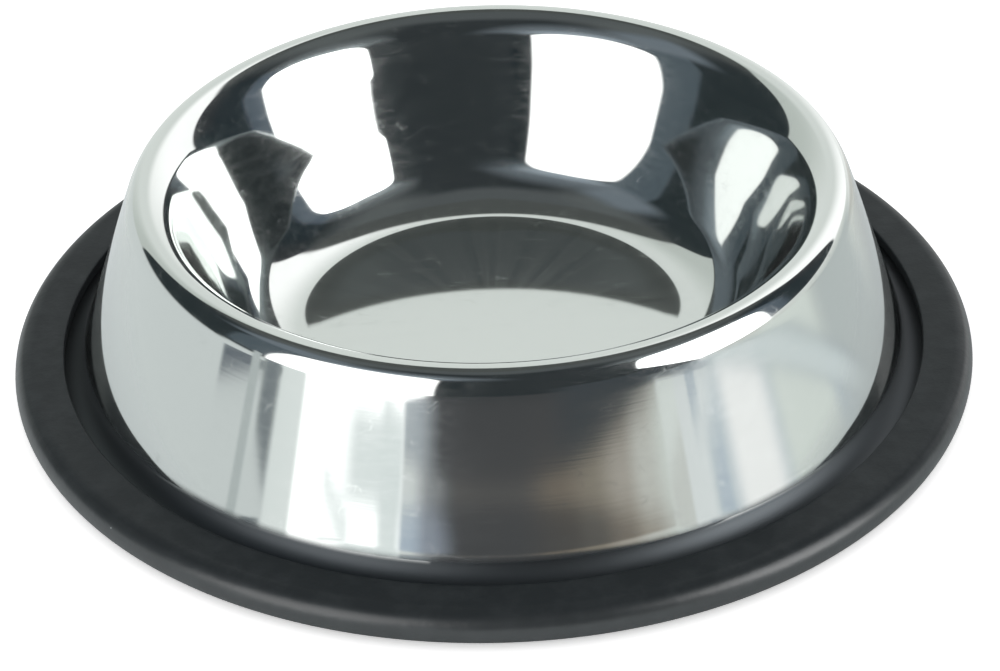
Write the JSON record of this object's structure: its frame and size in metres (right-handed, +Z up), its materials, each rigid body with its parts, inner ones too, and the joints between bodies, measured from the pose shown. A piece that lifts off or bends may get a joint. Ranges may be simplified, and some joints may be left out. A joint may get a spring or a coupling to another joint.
{
  "type": "non-slip pet bowl",
  "caption": "Round polished steel pet bowl with a rolled rim and a flared, hollow skirt whose flange sits in the groove of a black rubber anti-slip ring.",
  "frame": {"origin": "centre of the rubber ring's underside, where the bowl's axis meets the table", "axes": "+Z up along the bowl's axis; the shape is turned about Z, so X and Y are any two square directions"},
  "size_m": [0.24, 0.24, 0.0543],
  "materials": {
    "stainless_steel": "pressed and polished to a near mirror, with faint circular polishing lines",
    "black_rubber": "moulded, matte, a little worn along the outer edge"
  },
  "bodies": {
    "rubber_ring": {"rubber_ring": "black_rubber"},
    "bowl": {"bowl": "stainless_steel"}
  },
  "joints": [
    {"name": "bowl_lift", "type": "slide", "parent": "rubber_ring", "child": "bowl", "axis": [0, 0, 1], "range_m": [0, 0.03], "deforming": ["rubber_ring"]}
  ]
}
